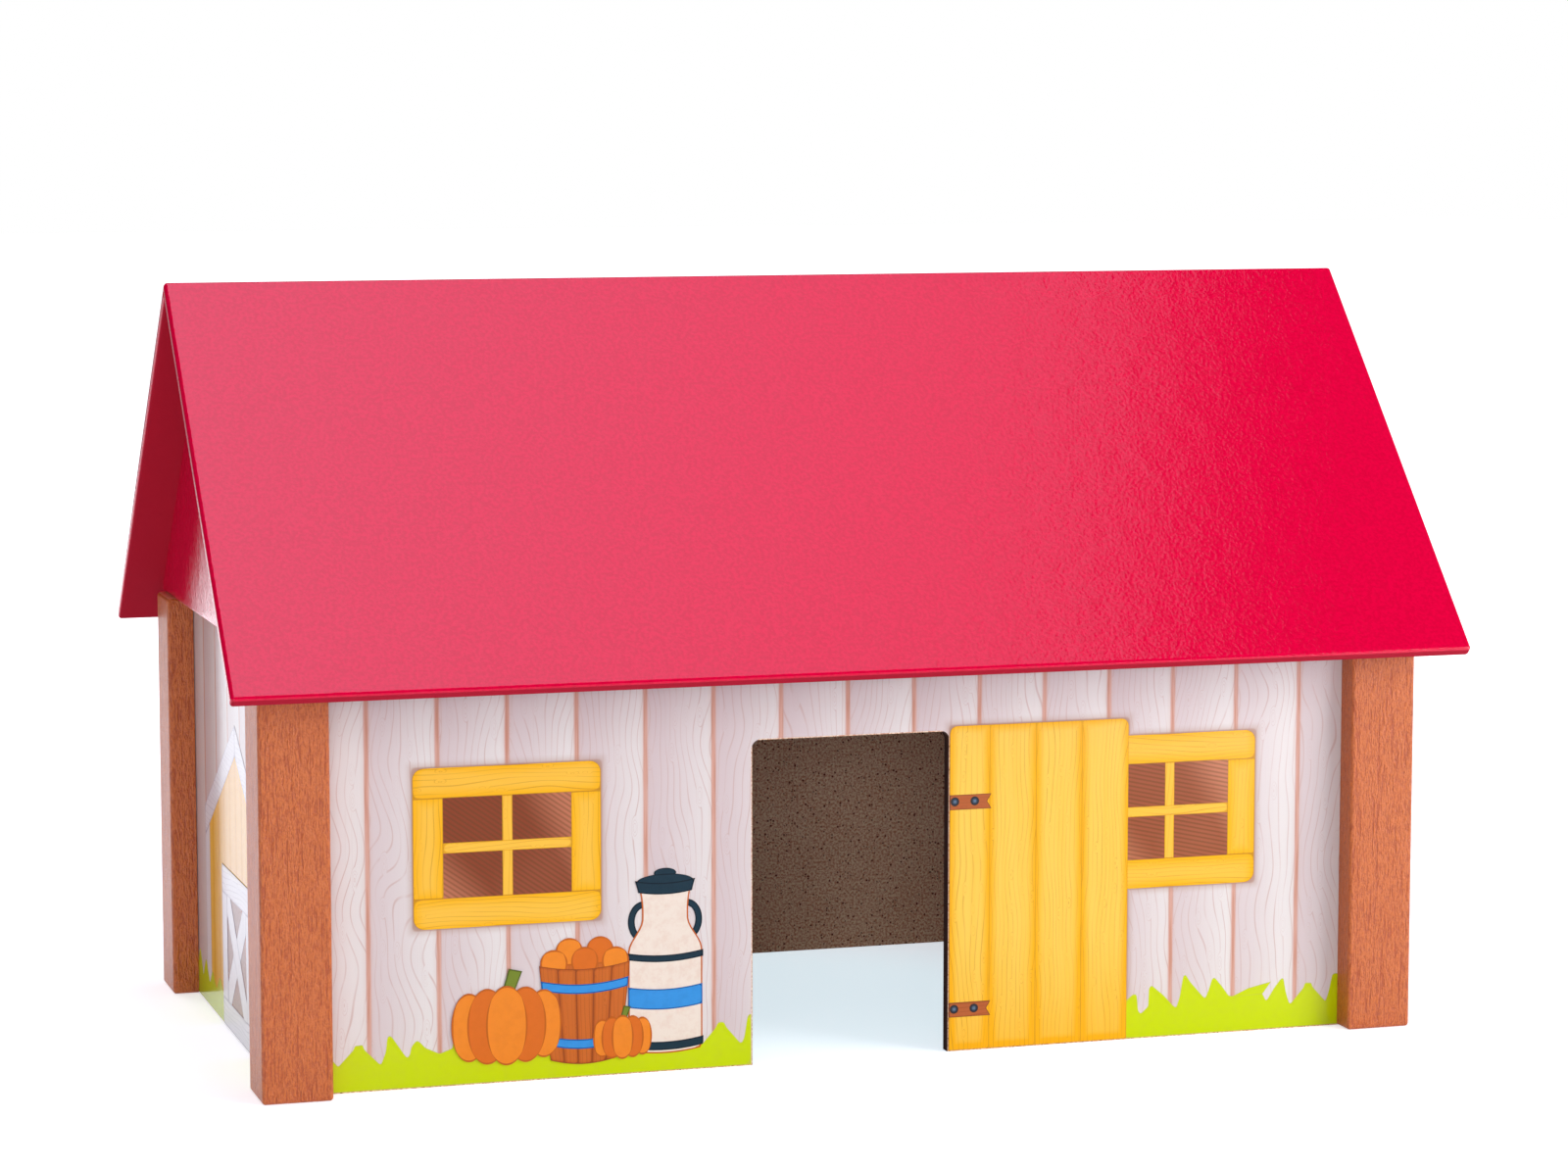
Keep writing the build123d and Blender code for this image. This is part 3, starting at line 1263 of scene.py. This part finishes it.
def progress(value: np.ndarray, start: float, end: float) -> np.ndarray:
    """How far values lie from start, 0, to end, 1, and never less or more."""
    return np.clip((value - start) / (end - start), 0.0, 1.0)


@dataclass(frozen=True)
class Churn:
    """A drawn milk churn: a cream body with a sloping shoulder and a neck, a dark lid, bands and two handles.

    Lengths are in millimetres, and heights along the body are shares of its height. A band is its lower and
    upper height, its finish, its layer above the lowest, and how far it stands out on each side.
    """

    middle: float = -61.0
    bottom: float = 7.0
    height: float = 54.0
    half_width: float = 12.0
    level: int = 3
    bow: float = 0.1
    shoulder: Point = (0.58, 0.78)
    shoulder_in: float = 0.38
    flare: Point = (0.82, 1.0)
    flare_out: float = 0.14
    foot: Point = (0.04, 0.0)
    foot_in: float = 0.06
    bands: tuple[tuple[float, float, Tint, int, float], ...] = (
        (0.0, 1.0, Tint.CREAM, 1, 0.0),
        (0.02, 0.07, Tint.TEAL, 2, 0.3),
        (0.26, 0.38, Tint.BLUE, 2, 0.0),
        (0.54, 0.58, Tint.TEAL, 2, 0.3),
        (0.93, 1.0, Tint.TEAL, 3, 0.6),
    )
    handle_foot: Point = (6.96, 48.04)
    handle_inner: Point = (2.88, 4.32)
    handle_outer: Point = (5.04, 6.48)
    lid_up: float = 60.46
    lid_half: Point = (9.12, 2.4)
    knob_up: float = 63.1
    knob_half: Point = (3.6, 1.6)

    def band(self, low: float, high: float, ink: Tint, layer: int, proud: float) -> Shape:
        """The part between two heights, each row bowed down in the middle by a share of its half width.

        The body draws in along the shoulder by a cosine. By squares it flares at the rim and draws in at the
        foot.

        Args:
            low: The lower height, as a share of the whole.
            high: The upper height.
            ink: Its finish.
            layer: Its layer above the churn's lowest.
            proud: How far it stands out on each side, in millimetres.

        Returns:
            The shape.
        """
        up, f = np.linspace(low, high, 40)[:, None], np.linspace(-1.0, 1.0, 25)
        drawn = self.shoulder_in * (1 - np.cos(math.pi * progress(up, *self.shoulder))) / 2
        flared, footed = progress(up, *self.flare) ** 2, progress(up, *self.foot) ** 2
        half = self.half_width * (1 - drawn + self.flare_out * flared - self.foot_in * footed) + proud
        heights = self.bottom + self.height * up - self.bow * half * (1 - f**2)
        return Shape(curve(self.middle + half * f, heights), ink, self.level + layer)

    def handle(self, way: int) -> Shape:
        """A handle: a half ring beside the neck, thicker in its middle, by the angle from foot to top.

        Args:
            way: -1 for the left side and 1 for the right side.

        Returns:
            The shape.
        """
        angle, (across, up) = np.linspace(-math.pi / 2, math.pi / 2, 30), self.handle_foot
        inner, outer = (
            curve(self.middle + way * (across + half[0] * np.cos(angle)), up + half[1] * np.sin(angle))
            for half in (self.handle_inner, self.handle_outer)
        )
        return Shape(ruled(inner, outer, 6), Tint.TEAL, self.level)

    def shapes(self) -> list[Shape]:
        """Handles, body, bands, lid and knob."""
        lid = oval((self.middle, self.lid_up), self.lid_half, Tint.TEAL, self.level + 2)
        knob = oval((self.middle, self.knob_up), self.knob_half, Tint.TEAL, self.level + 1)
        return [self.handle(-1), self.handle(1), *(self.band(*band) for band in self.bands), lid, knob]


@dataclass(frozen=True)
class Barrel:
    """A drawn half barrel of brown staves with blue hoops, heaped with round fruit, in millimetres.

    The half width is the top's. A heap place is in half widths across and fruit radii up.
    """

    middle: float = -87.0
    bottom: float = 6.0
    height: float = 30.0
    half_width: float = 14.5
    staves: int = 5
    level: int = 6
    bow: float = 0.12
    hoops: tuple[Point, ...] = ((0.16, 0.26), (0.74, 0.84))
    fruit_radius: float = 4.35
    heap: tuple[Point, ...] = ((-0.34, 0.9), (0.34, 0.9), (-0.68, 0.1), (0.0, 0.2), (0.68, 0.1))
    brim: Point = (14.21, 2.4)

    def part(self, sides: Point, heights: Point, ink: Tint, level: int) -> Shape:
        """A part between two shares of the width and two shares of the height.

        Half the width at a share s of the height is 0.76 + 0.3 s - 0.06 s^2 of the top's, and each row bows
        down in the middle by a share of the top's half width.

        Args:
            sides: The left and right shares, from -1 to 1.
            heights: The lower and upper shares, from 0 to 1.
            ink: Its finish.
            level: Its layer of ink.

        Returns:
            The shape.
        """
        s = np.linspace(*heights, 30)[:, None]
        f = np.linspace(*sides, 12 if sides[1] - sides[0] < 1 else 40)
        half = self.half_width * (0.76 + 0.3 * s - 0.06 * s**2)
        up = self.bottom + self.height * s - self.bow * self.half_width * (1 - f**2)
        return Shape(curve(self.middle + half * f, up), ink, level)

    def shapes(self) -> list[Shape]:
        """The brim's far side, fruit, staves and hoops."""
        top, radius = self.bottom + self.height, self.fruit_radius
        shapes = [oval((self.middle, top), self.brim, Tint.STAVE, self.level)]
        for rank, (x, z) in enumerate(self.heap):
            middle = (self.middle + x * self.half_width, top + z * radius)
            ink = Tint.DEEP_ORANGE if rank % 2 else Tint.ORANGE
            shapes.append(oval(middle, (radius, radius), ink, self.level + 1 + (rank > 1)))
        seams = np.linspace(-1.0, 1.0, self.staves + 1).tolist()
        shapes += [self.part(pair, (0.0, 1.0), Tint.STAVE, self.level + 3) for pair in zip(seams, seams[1:])]
        return shapes + [self.part((-1.0, 1.0), span, Tint.BLUE, self.level + 4) for span in self.hoops]


def paint_nodes(nodes: tuple[str, ...], finish: Material) -> None:
    """Gives nodes of the frame their finish in place of the plain one.

    Args:
        nodes: The nodes' names.
        finish: Their finish.
    """
    for node in nodes:
        slots = frame["nodes"][node].data.materials
        slots.clear()
        slots.append(finish)
        log.info("%s: %s", node, finish.name)


@dataclass(frozen=True)
class Roof:
    """The lift-off roof: two panels and two gable plates, all in gloss paint."""

    paint: RoofPaint = RoofPaint()
    nodes: tuple[str, ...] = ("roof_front_panel", "roof_back_panel", "roof_gable_left", "roof_gable_right")

    def dress(self) -> None:
        """Paints the roof's nodes."""
        paint_nodes(self.nodes, self.paint.material())


@dataclass(frozen=True)
class Posts:
    """The four grooved corner posts."""

    paint: PostPaint = PostPaint()
    nodes: tuple[str, ...] = ("post_front_left", "post_front_right", "post_back_left", "post_back_right")

    def dress(self) -> None:
        """Paints the posts' nodes."""
        paint_nodes(self.nodes, self.paint.material())


LEFT_OF_DOORWAY = GrassDrawing(
    (
        (-173.8, 11.5), (-169.0, 13.4), (-166.0, 9.7), (-164.9, 8.4), (-160.0, 13.5), (-159.7, 14.7),
        (-158.5, 14.6), (-157.3, 14.9), (-156.8, 13.3), (-152.1, 8.5), (-151.5, 8.3), (-150.0, 12.2),
        (-149.5, 16.6), (-148.8, 17.2), (-148.0, 16.5), (-143.9, 10.3), (-143.2, 9.8), (-142.5, 10.8),
        (-142.0, 13.2), (-140.8, 14.7), (-140.0, 15.0), (-139.1, 14.2), (-137.7, 12.6), (-133.7, 10.7),
        (-133.1, 10.5), (-129.1, 11.9), (-128.9, 14.5), (-127.9, 15.3), (-126.6, 14.3), (-122.0, 8.8),
        (-121.2, 8.8), (-119.4, 15.8), (-118.4, 16.4), (-113.2, 9.8), (-112.2, 9.6), (-110.4, 15.2),
        (-109.4, 15.6), (-103.2, 8.6), (-102.4, 8.6), (-101.0, 14.6), (-100.0, 15.0), (-94.6, 9.4),
        (-93.6, 9.4), (-91.8, 17.4), (-90.9, 17.8), (-85.0, 10.0), (-84.0, 9.8), (-82.4, 14.2),
        (-81.4, 14.6), (-75.6, 8.6), (-74.8, 8.6), (-72.9, 16.0), (-71.9, 16.4), (-67.4, 11.6),
        (-59.3, 12.2), (-58.6, 10.0), (-57.9, 9.4), (-57.1, 9.7), (-53.3, 16.0), (-52.2, 16.7),
        (-51.4, 16.1), (-50.9, 12.5), (-49.8, 8.4), (-49.1, 7.8), (-45.0, 12.4), (-44.3, 13.3),
        (-44.0, 14.4), (-43.1, 14.6), (-42.0, 14.6), (-41.1, 12.8), (-36.7, 7.6), (-36.0, 7.5),
        (-35.2, 9.3), (-34.1, 16.0), (-33.3, 16.6), (-32.9, 16.4),
    ),
    (((-67.2, 11.2), (-59.1, 12.1), (-61.6, 15.2), (-56.2, 15.8)),),
)
RIGHT_OF_DOOR = GrassDrawing(
    (
        (93.0, 12.4), (96.3, 14.8), (97.3, 14.5), (97.8, 9.1), (98.8, 8.1), (101.4, 10.4),
        (101.6, 16.3), (102.4, 17.3), (106.5, 13.9), (110.4, 9.7), (111.2, 9.4), (112.3, 12.6),
        (113.5, 19.5), (114.2, 20.2), (116.0, 17.5), (120.5, 12.4), (121.3, 11.8), (122.5, 14.5),
        (123.7, 18.2), (124.5, 18.5), (127.3, 15.2), (129.6, 12.0), (141.4, 12.2), (142.5, 9.9),
        (143.0, 9.7), (145.6, 13.7), (147.9, 16.6), (148.8, 16.9), (149.7, 12.2), (150.9, 8.4),
        (151.5, 8.1), (156.2, 13.4), (156.4, 14.6), (157.2, 14.9), (157.9, 14.5), (158.6, 14.9),
        (159.3, 13.2), (163.3, 8.8), (164.0, 8.2), (165.0, 11.2), (166.3, 17.1), (168.0, 17.4),
        (173.8, 13.0),
    ),
    (((130.4, 11.7), (141.4, 12.0), (136.4, 14.2), (144.4, 15.9)),),
)
LEFT_WALL_GRASS = GrassDrawing(
    (
        (-79.2, 12.0), (-74.8, 9.6), (-71.2, 15.8), (-70.2, 16.2), (-64.7, 8.2), (-63.9, 8.2),
        (-59.2, 14.4), (-58.2, 14.6), (-51.2, 8.4), (-50.4, 8.4), (-46.2, 12.8), (-45.2, 13.0),
        (-38.6, 8.8), (-37.8, 8.8), (-31.4, 13.6), (-30.4, 13.8), (-24.6, 10.2), (-21.4, 11.8),
    )
)


@dataclass(frozen=True)
class Walls:
    """The four bare boards, and the drawings on their printed faces."""

    board: Hardboard = Hardboard()
    ground: PlankPrint = PlankPrint()
    end_ground: PlankPrint = PlankPrint(pitch=22.4, first_line=-9.5)
    nodes: tuple[str, ...] = ("front_wall", "back_wall", "left_wall", "right_wall")
    left_window: WindowDrawing = WindowDrawing(-141.0)
    right_window: WindowDrawing = WindowDrawing(78.3, Tint.FLAT_PANE)
    door: DoorDrawing = DoorDrawing()
    harvest: tuple[Churn | Barrel | Pumpkin, ...] = (
        Churn(),
        Barrel(),
        Pumpkin((-112.0, 18.0), 17.5 / 1.06, 12.5),
        Pumpkin((-75.0, 12.0), 9.5 / 1.06, 7.0),
    )

    def dress(self) -> None:
        """Finishes the boards, gives each sheet its ground, and prints the drawings on them."""
        paint_nodes(self.nodes, self.board.material())
        windows = [self.left_window.box(), self.right_window.box()]
        paint_nodes((Side.FRONT.node,), self.ground.material(Side.FRONT, [*windows, self.door.box()]))
        paint_nodes((Side.BACK.node,), self.ground.material(Side.BACK, windows))
        for side in (Side.LEFT, Side.RIGHT):
            paint_nodes((side.node,), self.end_ground.material(side, []))
        for name, side, shapes in self.drawings():
            Drawing(name, side, shapes).build()

    def drawings(self) -> Iterator[tuple[str, Side, list[Shape]]]:
        """Each drawing's name, wall and shapes."""
        yield "front_window_left", Side.FRONT, self.left_window.shapes()
        yield "front_window_right", Side.FRONT, self.right_window.shapes()
        yield "front_door", Side.FRONT, self.door.shapes()
        yield "front_grass", Side.FRONT, LEFT_OF_DOORWAY.shapes() + RIGHT_OF_DOOR.shapes()
        yield "front_harvest", Side.FRONT, [shape for thing in self.harvest for shape in thing.shapes()]
        yield "back_window_left", Side.BACK, self.left_window.shapes()
        yield "back_window_right", Side.BACK, self.right_window.shapes()
        yield "back_grass", Side.BACK, even_grass(-173.8, 173.8, 5).shapes()
        right_of_door = even_grass(30.5, 79.2, 8)
        yield "left_barn_front", Side.LEFT, BarnFrontDrawing((LEFT_WALL_GRASS, right_of_door)).shapes()
        both = (even_grass(-79.2, -23.5, 11), right_of_door)
        yield "right_barn_front", Side.RIGHT, BarnFrontDrawing(both).shapes()


@dataclass(frozen=True)
class SoftBox:
    """A soft box that faces a target, in metres.

    A glow of 1 is white, and the falloff is the share of it that is left at the right side.
    """

    name: str
    place: Place
    target: Place
    size: Point
    glow: float
    falloff: float = 1.0
    tint: Place = (1.0, 1.0, 1.0)

    def build(self) -> None:
        """Hangs the lamp, unseen by the camera, whose glow falls evenly from its left side to its right."""
        data = bpy.data.lights.new(self.name, "AREA")
        data.shape = "RECTANGLE"
        data.size, data.size_y = self.size
        data.energy = self.glow * math.pi * self.size[0] * self.size[1]
        data.color = self.tint
        if self.falloff != 1.0:
            data.use_nodes = True
            graph = Graph(data.node_tree)
            strength = graph.add("NewGeometry", "Parametric").part("X") * (self.falloff - 1.0) + 1.0
            graph.feed(data.node_tree.nodes["Emission"].inputs["Strength"], strength)
        lamp = placed(self.name, data)
        lamp.location = self.place
        lamp.rotation_euler = (Vector(self.target) - Vector(self.place)).to_track_quat("-Z", "Y").to_euler()
        lamp.visible_camera = False


@dataclass(frozen=True)
class Card:
    """A white card on the floor, which only reflections see, and where it fades in, in metres."""

    across: Point
    back: Point
    glow: float


@dataclass(frozen=True)
class Studio:
    """A plain pale floor, a white surround, soft boxes, and the camera where the photographer stood.

    Lengths are in metres, the lens and sensor in millimetres, turns in degrees. A pair is where something
    starts to show and where it is full: a distance from the floor's middle, or a direction's coordinate.
    """

    floor_reach: float = 8.0
    floor_colour: Colour = srgb(247, 247, 250)
    floor_glow: float = 0.58
    far_glow: float = 0.5
    far: Point = (0.2, 1.3)
    inside_glow: float = 0.22
    inside: Point = (0.17, 0.06)
    outside_tint: Colour = (0.94, 0.94, 1.0, 1.0)
    inside_tint: Colour = (0.78, 0.93, 1.0, 1.0)
    card_end: Point = (1.8, 1.1)
    fill: float = 0.42
    reflected: float = 0.015
    backdrop_right: Point = (-0.1, 0.15)
    backdrop_back: Point = (0.4, 0.8)
    backdrop_low: Point = (0.5, 0.3)
    boxes: tuple[SoftBox, ...] = (
        SoftBox(
            "overhead_box", (0.25, -0.15, 1.75), (0.25, -0.15, 0.0), (1.0, 1.2), 3.04, 0.38, (0.95, 0.97, 1.3)
        ),
        SoftBox("key_box", (1.25, -1.06, 0.58), (0.05, 0.0, 0.08), (1.0, 0.82), 6.5),
        SoftBox("front_box", (-0.6, -1.7, 0.34), (0.0, 0.0, 0.08), (0.8, 0.44), 4.15),
        SoftBox("back_box", (-0.7, 1.7, 0.85), (0.0, 0.0, 0.1), (1.0, 0.7), 4.2),
    )
    cards: tuple[Card, ...] = (
        Card((-0.12, -0.24), (-0.35, -0.05), 1.05),
        Card((0.12, 0.24), (-0.35, -0.05), 1.1),
        Card((0.28, 0.42), (-0.1, -0.3), 3.4),
    )
    camera_place: Place = (-0.4129, -1.3546, 0.3047)
    camera_turn: Place = (90 - 6.561, 0.0, -17.127)
    camera_lens: float = 98.3
    sensor_width: float = 36.0

    def build(self) -> None:
        """Sets up floor, surround, lamps and camera."""
        self._floor()
        self._surround()
        for box in self.boxes:
            box.build()
        self._camera()
        log.info("studio: floor, surround, lamps and camera")

    def _floor(self) -> None:
        """A large pale sheet that looks white but still takes shadows, with the cards on it."""
        mesh = bpy.data.meshes.new("floor")
        corners = self.floor_reach * np.array([(-1, -1, 0), (1, -1, 0), (1, 1, 0), (-1, 1, 0)])
        mesh.from_pydata(corners.tolist(), [], [(0, 1, 2, 3)])
        sheet = Finish("studio_floor")
        place = sheet.object_place()
        from_middle = sheet.add("VectorMath", "Value", {0: place}, operation="LENGTH")
        # Painted light: within the barn the floor glows brighter to the camera, lifting the shade there, in a
        # cooler tint.
        inside = from_middle.fade(*self.inside)
        plain = inside * self.inside_glow + (from_middle.fade(*self.far) * self.far_glow + self.floor_glow)
        cards = self._cards(place) * from_middle.fade(*self.card_end)
        glow = sheet.add("LightPath", "Is Camera Ray") * plain + sheet.mirrored() * cards
        sheet.surface(
            Base_Color=self.floor_colour,
            Roughness=0.9,
            Specular_IOR_Level=0.1,
            Emission_Color=sheet.blend(inside, self.outside_tint, self.inside_tint),
            Emission_Strength=glow,
        )
        mesh.materials.append(sheet.material)
        placed("floor", mesh)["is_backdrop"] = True

    def _cards(self, place: Value) -> Value:
        """How bright the cards are at a place on the floor.

        Args:
            place: The point's place.

        Returns:
            The sum of the cards' glow.
        """
        total: Value | float = 0.0
        for card in self.cards:
            total = place.part("X").fade(*card.across) * place.part("Y").fade(*card.back) * card.glow + total
        return total

    def _surround(self) -> None:
        """White to the camera, a backdrop in a dim room to reflections, and an even fill to matt surfaces."""
        world = bpy.data.worlds.new("surround")
        bpy.context.scene.world = world
        world.use_nodes = True
        graph = Graph(world.node_tree)
        toward = graph.add("TexCoord", "Generated")
        right = toward.part("X").fade(*self.backdrop_right)
        back = toward.part("Y").fade(*self.backdrop_back)
        backdrop = toward.part("Z").fade(*self.backdrop_low) * (right * back)
        reflected = backdrop * (1.0 - self.reflected) + self.reflected
        strength = (reflected - self.fill) * graph.mirrored() + self.fill
        background = world.node_tree.nodes["Background"]
        graph.feed(background.inputs["Color"], (1.0, 1.0, 1.0, 1.0))
        graph.feed(background.inputs["Strength"], strength.larger(graph.add("LightPath", "Is Camera Ray")))

    def _camera(self) -> None:
        """The camera, level across, looking a little down from the front left."""
        data = bpy.data.cameras.new("camera")
        data.lens = self.camera_lens
        data.sensor_width = self.sensor_width
        camera = placed("camera", data)
        camera.location = self.camera_place
        camera.rotation_euler = tuple(math.radians(x) for x in self.camera_turn)
        bpy.context.scene.camera = camera


def write_sizes() -> None:
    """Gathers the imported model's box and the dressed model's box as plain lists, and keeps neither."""
    boxes = {"cad": cad_box, "dressed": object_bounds()}
    {name: [list(corner) for corner in box] for name, box in boxes.items()}


def main() -> None:
    """Builds the barn's finishes and drawings, then the studio round it."""
    logging.basicConfig(level=logging.INFO, format="%(name)s %(message)s")
    bpy.context.scene.view_settings.view_transform = "Standard"
    for assembly in (Roof(), Posts(), Walls()):
        assembly.dress()
    Studio().build()
    write_sizes()


if __name__ == "__main__":
    main()
